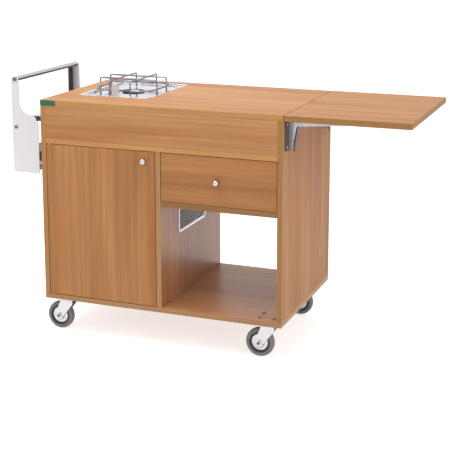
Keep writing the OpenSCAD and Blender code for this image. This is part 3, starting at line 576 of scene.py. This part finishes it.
def second_tone_and_painted_shade(name, mask, plain, covered, rough, metal, grain=None, relief=0.2):
    """Metal with a mask, a function of the finish, that brings in a second colour, mostly painted
    shade and reflection.
    """
    finish = new_finish(name)
    share = mask(finish)
    cloud = finish.clouds(CLOUDS)
    tint = finish.mix(cloud.above(CLOUD_FROM, CLOUD_SOFT) * CLOUD_SHARE, plain, CLOUD_GREY)
    marks = cloud if grain is None else brush_marks(finish, grain, 3.0)
    return finish.done(Base_Color=finish.mix(share, tint, covered),
                       Metallic=(1 - share) * metal[0] + share * metal[1],
                       Roughness=rough + marks * 0.12 + share * 0.15,
                       Normal=finish.bump(marks, 0.00002, relief))


def below(axis, level):
    """A mask of all that lies below a level on an axis."""
    return lambda finish: (level - finish.place()[axis]).above(0.0, MASK_EDGE)


def middle(node):
    low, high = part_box(node)
    return (low + high) / 2


def half_size(node):
    low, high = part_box(node)
    return (high - low) / 2


# %% [markdown]
# The hob's tray is bright sheet, and the well under the burner is painted near black, as painted
# shade and dark reflection. The burner's cap is cast and bright in its middle, and is painted grey
# towards its rim as a dark reflection. Both masks measure the distance from the burner's axis.

# %% Mix the hob's metals
BURNER = middle("burner_cap")
WELL_R = 0.050
CAP_REFLECTION_FROM = 0.019
CAP_REFLECTION_OVER = 0.010
CAP_REFLECTION_MOST = 0.90


def from_burner(finish):
    x, y = finish.place()[:2]
    ends = {0: finish.vector(x, y, 0.0), 1: (BURNER.x, BURNER.y, 0.0)}
    return finish.node("ShaderNodeVectorMath", ends, out="Value", operation="DISTANCE")


# The well is painted near black: painted shade and dark reflection.
def well_painted_shade(finish):
    return (WELL_R - from_burner(finish)).above(0.0, 0.002)


# The cap's rim is painted grey: a painted dark reflection.
def cap_painted_reflection(finish):
    return from_burner(finish).above(CAP_REFLECTION_FROM, CAP_REFLECTION_OVER) * CAP_REFLECTION_MOST


# The tray with its well in painted shade, and the cap with its painted grey rim.
hob_sheet = second_tone_and_painted_shade("hob_sheet", well_painted_shade, (0.72, 0.73, 0.76), (0.055, 0.053, 0.056), 0.07,
                     metal=(1.0, 0.8), grain=0, relief=0.0)
cap_alloy = second_tone_and_painted_shade("cap_alloy", cap_painted_reflection, (0.82, 0.82, 0.83), (0.15, 0.145, 0.15), 0.12,
                     metal=(1.0, 1.0))
print("burner, m:", [round(v, 3) for v in BURNER])

# %% [markdown]
# The underside of the rack's handle, the inner faces of its rear post and a wing of the front
# bracket are painted dark: painted shade and dark reflection of the studio, fixed to their place.
# Each mask starts at a level that is measured from an imported node: the tube's middle, the middle
# between the two brackets, and the end of the rear plate.

# %% Mix the metals of the handle, the post and the bracket
# Where the painted shade starts on the handle, the bracket and the post.
ABOVE_TUBE_MIDDLE = 0.0006
WING_FROM_MIDDLE = 0.2183
POST_WIDTH = 0.060
HANDLE_PAINTED_SHADE_BELOW = middle("rack_handle").z + ABOVE_TUBE_MIDDLE
WING_PAINTED_SHADE_BELOW = middle("bracket_legs").y - WING_FROM_MIDDLE
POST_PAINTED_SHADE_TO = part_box("rack_rear_end")[0].x + POST_WIDTH


def post_painted_shade(finish):
    """The faces of the rear plate's post that look at the cabinet, painted dark as shade."""
    return finish.normal()[0].above(0.6, 0.1) * (POST_PAINTED_SHADE_TO - finish.place()[0]).above(0.0, 0.001)


# The handle's underside, the bracket's wing and the post's inner faces are painted shade and dark
# reflection.
handle_tube_painted_shade = second_tone_and_painted_shade("handle_tube_painted_shade", below(2, HANDLE_PAINTED_SHADE_BELOW), (0.60, 0.59, 0.60),
                       (0.022, 0.018, 0.022), 0.14, metal=(1.0, 0.0))
bracket_zinc_painted_shade = second_tone_and_painted_shade("bracket_zinc_painted_shade", below(1, WING_PAINTED_SHADE_BELOW), (0.62, 0.60, 0.63),
                        (0.036, 0.022, 0.022), 0.26, metal=(1.0, 0.35))
rear_sheet_painted_shade = second_tone_and_painted_shade("rack_sheet_rear_painted_shade", post_painted_shade, RACK_SHEET, (0.045, 0.036, 0.045), 0.34,
                      metal=(0.25, 0.2), grain=2)
print("dark below z", round(HANDLE_PAINTED_SHADE_BELOW, 4), "y", round(WING_PAINTED_SHADE_BELOW, 4), "x", round(POST_PAINTED_SHADE_TO, 4))

# %% [markdown]
# The forks are zinc plated with a dark end of the axle in each cheek. The four axles lie at one
# height and mirror each other about one plane, so one mask finds them all. The bolt heads on the
# floor of the bay are painted brown, as painted shade of the bay and reflection of its wood, while
# the screws elsewhere stay bright. The grille's perforated sheet is painted darker than its frame,
# as painted shade seen through its holes.

# %% Mix the metals of the forks, the screws and the grille
AXLES = (middle("front_left_tyre") + middle("front_right_tyre")) / 2
AXLE_SPREAD = middle("front_right_tyre").x - AXLES.x
AXLE_R = 0.0048
BOLT_HEAD = 0.010
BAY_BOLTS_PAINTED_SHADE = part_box("bottom_board")[1].z + BOLT_HEAD
GRILLE = middle("vent_grille")
GRILLE_HALF = half_size("vent_grille")
GRILLE_RIM = 0.0085


def axle_end(finish):
    x, _, z = finish.place()
    along = (x - AXLES.x).math("ABSOLUTE") - AXLE_SPREAD
    spot = {0: finish.vector(along, 0.0, z - AXLES.z)}
    away = finish.node("ShaderNodeVectorMath", spot, out="Value", operation="LENGTH")
    return 1 - away.above(AXLE_R, 0.0015)


# The grille's perforated sheet is painted darker: painted shade seen through its holes.
def grille_painted_shade(finish):
    _, y, z = finish.place()
    across = (y - GRILLE.y).math("ABSOLUTE") - GRILLE_HALF.y + GRILLE_RIM
    up = (z - GRILLE.z).math("ABSOLUTE") - GRILLE_HALF.z + GRILLE_RIM
    return 1 - across.math("MAXIMUM", up).above(0.0, 0.0005)


fork_zinc = second_tone_and_painted_shade("fork_zinc", axle_end, (0.60, 0.585, 0.61), (0.09, 0.085, 0.095), 0.30,
                     metal=(1.0, 0.8))
# The bay's bolt heads are painted brown: painted shade of the bay and reflection of its wood.
bolt_steel = second_tone_and_painted_shade("bolt_steel", below(2, BAY_BOLTS_PAINTED_SHADE), (0.58, 0.57, 0.60), (0.40, 0.26, 0.17),
                      0.32, metal=(1.0, 0.5))
grille_sheet = second_tone_and_painted_shade("grille_sheet", grille_painted_shade, (0.78, 0.76, 0.78), (0.30, 0.28, 0.275),
                        0.30, metal=(0.9, 0.9), grain=1)
print("axles from the middle plane, m:", round(AXLE_SPREAD, 3))

# %% [markdown]
# ## Dressing
# One table says which node wears which finish. Every node that isn't a board is in it, also those
# that only an open door or drawer shows, and the last line tells if one was forgotten.

# %% Dress the metal and the small parts
CORNERS = ["front_left", "front_right", "rear_left", "rear_right"]
OUTFIT = {
    front_sheet: ["rack_front_end"],
    rear_sheet_painted_shade: ["rack_rear_end"],
    sheet_long: ["rack_tray"],
    grille_sheet: ["vent_grille"],
    hob_sheet: ["hob_tray"],
    rod: ["pan_support", "rack_rail"],
    handle_tube_painted_shade: ["rack_handle"],
    chrome: ["door_knob", "drawer_knob"],
    bracket_zinc_painted_shade: ["bracket_legs"],
    bolt_steel: ["screws"],
    zinc: ["bracket_arms", "bracket_pins", "caster_plates", "tap_stem", "door_pins",
           "strike_plate"],
    bolt_grey: ["rack_bolts"],
    satin_knob: ["gas_knob"],
    lever_black: ["front_lock_lever", "rear_lock_lever"],
    brass: ["gas_tap", "gas_pipe"],
    cast_alloy: ["burner_base"],
    cap_alloy: ["burner_cap"],
    enamel: ["burner_crown"],
    plastic: ["door_catch", "rack_hangers"],
    rail_paint: ["drawer_rails", "cabinet_rails"],
    birch(): ["drawer_sides", "drawer_back", "drawer_bottom"],
    fork_zinc: [corner + "_fork" for corner in CORNERS],
    rubber: [corner + "_tyre" for corner in CORNERS],
    hub_zinc: [corner + "_hub" for corner in CORNERS],
}
for material, dressed in OUTFIT.items():
    for node in dressed:
        dress(node, material)
forgotten = set(nodes) - set(BOARDS) - {node for dressed in OUTFIT.values() for node in dressed}
print("finishes:", len(OUTFIT), "forgotten nodes:", sorted(forgotten))

# %% [markdown]
# ## Pieces
# A new piece starts as a bmesh in the cart's coordinates. It becomes a mesh on an object that stays
# at the origin, so that patterns on object coordinates lie right. It rides on a body, so that it
# moves with the cart's joints.

# %% Turn a shape into a piece
def piece(name, shape, body, material, smooth=True):
    mesh = bpy.data.meshes.new(name)
    shape.to_mesh(mesh)
    shape.free()
    for polygon in mesh.polygons:
        polygon.use_smooth = smooth
    mesh.materials.append(material)
    made = bpy.data.objects.new(name, mesh)
    bpy.context.scene.collection.objects.link(made)
    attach(made, body)
    return made


# %% [markdown]
# ## Soft edges
# No real edge is perfectly sharp. A board has a narrow radius where its band is trimmed, and
# pressed sheet has round bends, and these catch thin lines of light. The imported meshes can't be
# changed, so each node that shows gets a copy with its triangles joined up again, which stands in
# for it, and a Bevel modifier rounds the copy's corners. Bevel can also set the shading, but on
# large flat faces its normals came out tilted and drew false streaks. So a Weighted Normal modifier
# does this after it, and the large faces stay flat.

# %% Soften a node
MERGE = 0.000005
FLAT = math.radians(0.4)
CORNER = math.radians(33)


def soften(node, width):
    """A copy of a node with its corners rounded by width, or only smooth where width is 0."""
    shape = bmesh.new()
    shape.from_mesh(nodes[node].data)
    bmesh.ops.remove_doubles(shape, verts=shape.verts, dist=MERGE)
    bmesh.ops.dissolve_limit(shape, angle_limit=FLAT, verts=shape.verts, edges=shape.edges)
    material = nodes[node].data.materials[0]
    made = piece(node + "_edged", shape, nodes[node]["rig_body"], material)
    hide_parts(node)
    if not width:
        made.data.set_sharp_from_angle(angle=CORNER)
        return
    bevel = made.modifiers.new("edge", "BEVEL")
    bevel.width = width
    bevel.segments = 2
    bevel.limit_method = "ANGLE"
    bevel.angle_limit = CORNER
    shading = made.modifiers.new("shading", "WEIGHTED_NORMAL")
    shading.mode = "FACE_AREA"
    shading.weight = 100
    shading.keep_sharp = True


# %% [markdown]
# Boards get the widest radius but the top and the leaf, which meet in a narrow seam. Wire, screws,
# knobs and the perforated grille have their round forms already, and only need smooth shading.

# %% Round the edges
EDGES = {
    0.0008: [board for board in BOARDS if board not in ("top_board", "leaf_board")],
    0.0005: ["top_board", "leaf_board"],
    0.0006: ["rack_front_end", "rack_rear_end", "rack_tray", "hob_tray", "gas_knob"],
    0.0004: ["bracket_legs", "bracket_arms", "front_lock_lever", "rear_lock_lever", "rack_handle",
             "burner_crown", "burner_cap"] + OUTFIT[fork_zinc],
    0.0012: ["rack_hangers"],
    0.0: ["door_knob", "drawer_knob", "pan_support", "rack_rail", "screws", "rack_bolts",
          "bracket_pins", "caster_plates", "vent_grille", "burner_base"],
}
for width, softened in EDGES.items():
    for node in softened:
        soften(node, width)
print("softened:", sum(len(softened) for softened in EDGES.values()))

# %% [markdown]
# ## Rings
# Everything round that is added here is a ring: a tyre, a cover, a guard, the burner's edge. A
# stack of cylinders would show steps, and a torus has only one kind of section. So the section is
# drawn once, as a closed chain of points, and spun about the axle. Its faces are then turned to
# look outwards.

# %% Spin a ring
TURNS = 96


def spun(outline, centre, axis):
    """A closed ring from an outline of (radius, distance along the axis) pairs."""
    shape = bmesh.new()
    verts = [shape.verts.new((radius, 0, along)) for radius, along in outline]
    edges = [shape.edges.new((a, b)) for a, b in zip(verts, verts[1:] + verts[:1])]
    bmesh.ops.spin(shape, geom=verts + edges, cent=(0, 0, 0), axis=(0, 0, 1),
                   angle=math.tau, steps=TURNS, use_merge=True, use_duplicate=False)
    bmesh.ops.remove_doubles(shape, verts=shape.verts, dist=MERGE)
    bmesh.ops.recalc_face_normals(shape, faces=shape.faces)
    turn = Matrix.Rotation(math.radians(90), 4, "X") if axis == "Y" else Matrix.Identity(4)
    bmesh.ops.transform(shape, matrix=Matrix.Translation(centre) @ turn, verts=shape.verts)
    return shape


def mirrored(half):
    """The whole outline from its half, which runs from the bore outwards at positive distance."""
    return half + [(radius, -along) for radius, along in reversed(half)]


# %% [markdown]
# ## Wheels
# A wheel has a grey rubber tyre, a dark ring that keeps threads off the bearing, and a pale pressed
# cover with a shallow groove. The tyre's tread is slightly round and its shoulders are soft, so a
# level of subdivision smooths its few points. The cover and the guard are thin pressed parts whose
# bends stay crisp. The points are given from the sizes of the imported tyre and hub, which they
# replace.

# %% Draw the outlines of a wheel
def tyre_outline(radius, half, hub_r):
    return mirrored([
        (hub_r - 0.0002, half - 0.0035), (hub_r + 0.0022, half - 0.0030),
        (hub_r + 0.0035, half - 0.0006), (hub_r + 0.0055, half),
        (radius - 0.0085, half - 0.0001), (radius - 0.0035, half - 0.0016),
        (radius - 0.0009, half - 0.0048), (radius - 0.0002, half - 0.0080)])


def cover_outline(half, boss):
    return mirrored([
        (0.0051, boss), (0.0078, boss), (0.0084, boss - 0.0008), (0.0086, half - 0.0046),
        (0.0120, half - 0.0040), (0.0170, half - 0.0026), (0.0178, half - 0.0034),
        (0.0190, half - 0.0034), (0.0198, half - 0.0026), (0.0270, half - 0.0030),
        (0.0292, half - 0.0040), (0.0294, half - 0.0075)])


def guard_outline(half, hub_r):
    return mirrored([
        (0.0293, half - 0.0052), (0.0300, half - 0.0012), (0.0310, half + 0.0002),
        (hub_r + 0.0022, half + 0.0002), (hub_r + 0.0030, half - 0.0006),
        (hub_r + 0.0030, half - 0.0030)])


# %% Build the wheels
def wheel(corner):
    centre = middle(corner + "_tyre")
    _, half, radius = half_size(corner + "_tyre")
    _, boss, hub_r = half_size(corner + "_hub")
    body = nodes[corner + "_tyre"]["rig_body"]
    shape = spun(tyre_outline(radius, half, hub_r), centre, "Y")
    tyre = piece(corner + "_tyre_round", shape, body, rubber)
    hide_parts(corner + "_tyre")
    rounding = tyre.modifiers.new("round", "SUBSURF")
    rounding.levels = 1
    rounding.render_levels = 1
    shape = spun(cover_outline(half, boss), centre, "Y")
    cover = piece(corner + "_hub_cover", shape, body, hub_zinc)
    cover.data.set_sharp_from_angle(angle=CORNER)
    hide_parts(corner + "_hub")
    shape = spun(guard_outline(half, hub_r), centre, "Y")
    guard = piece(corner + "_thread_guard", shape, body, plastic)
    guard.data.set_sharp_from_angle(angle=CORNER)
    print(corner, "wheel, m across:", round(2 * radius, 3))


for corner in CORNERS:
    wheel(corner)

# %% [markdown]
# ## The burner's ring
# A dark enamelled ring stands round the bright cap, on the crown's wall. Its crest has a notch for
# each flame. These could be cut one by one with a boolean, but it is lighter and safer to lower the
# crest's points at every fourth step of the spin.

# %% Spin the ring
CREST = 0.0072
NOTCH = 0.0012
NOTCH_EVERY = 4


def burner_ring():
    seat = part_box("burner_crown")[1].z - BURNER.z
    crest = seat + CREST
    outline = [(0.0345, seat - 0.0060), (0.0372, seat - 0.0060), (0.0396, seat - 0.0032),
               (0.0401, seat + 0.0045), (0.0393, crest), (0.0373, crest),
               (0.0360, seat + 0.0040), (0.0345, seat + 0.0004)]
    shape = spun(outline, BURNER, "Z")
    top = [vert for vert in shape.verts if vert.co.z > BURNER.z + crest - 0.0005]
    for vert in top:
        turned = math.atan2(vert.co.y - BURNER.y, vert.co.x - BURNER.x) % math.tau
        if round(turned / math.tau * TURNS) % NOTCH_EVERY == 0:
            vert.co.z -= NOTCH
    ring = piece("burner_ring", shape, "cabinet", enamel)
    ring.data.set_sharp_from_angle(angle=CORNER)


burner_ring()
print("notches in the burner's ring:", TURNS // NOTCH_EVERY)

# %% [markdown]
# ## The plate on the front edge
# A small plain plate in green enamel sits at the left end of the top's front edge. It could be a
# box, but the real one is stamped from thin sheet with round corners. So a flat face is made first,
# its four corners are bevelled, and only then it gets its thickness. Its back is let into the board
# by a fifth of a millimetre, so that no gap shows from the side.

# %% Make the plate
PLATE_W, PLATE_H, PLATE_T = 0.058, 0.0185, 0.0012
PLATE_CORNER = 0.002
FROM_END = 0.0005
LET_IN = 0.0002


def edge_plate():
    shape = bmesh.new()
    bmesh.ops.create_grid(shape, x_segments=1, y_segments=1, size=0.5)
    bmesh.ops.scale(shape, vec=(PLATE_W, PLATE_H, 1), verts=shape.verts)
    bmesh.ops.bevel(shape, geom=list(shape.verts), offset=PLATE_CORNER, segments=4, profile=0.5,
                    affect="VERTICES", material=-1)
    bmesh.ops.solidify(shape, geom=list(shape.faces), thickness=-PLATE_T)
    bmesh.ops.recalc_face_normals(shape, faces=list(shape.faces))
    low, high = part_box("top_board")
    centre = Vector((low.x + PLATE_W / 2 + FROM_END, low.y + LET_IN, (low.z + high.z) / 2))
    turn = Matrix.Translation(centre) @ Matrix.Rotation(math.radians(90), 4, "X")
    bmesh.ops.transform(shape, matrix=turn, verts=shape.verts)
    return piece("edge_plate", shape, "cabinet", green, smooth=False)


plate = edge_plate()
corners = (plate.bound_box[0], plate.bound_box[6])
print("plate box, m:", [tuple(round(v, 4) for v in corner) for corner in corners])
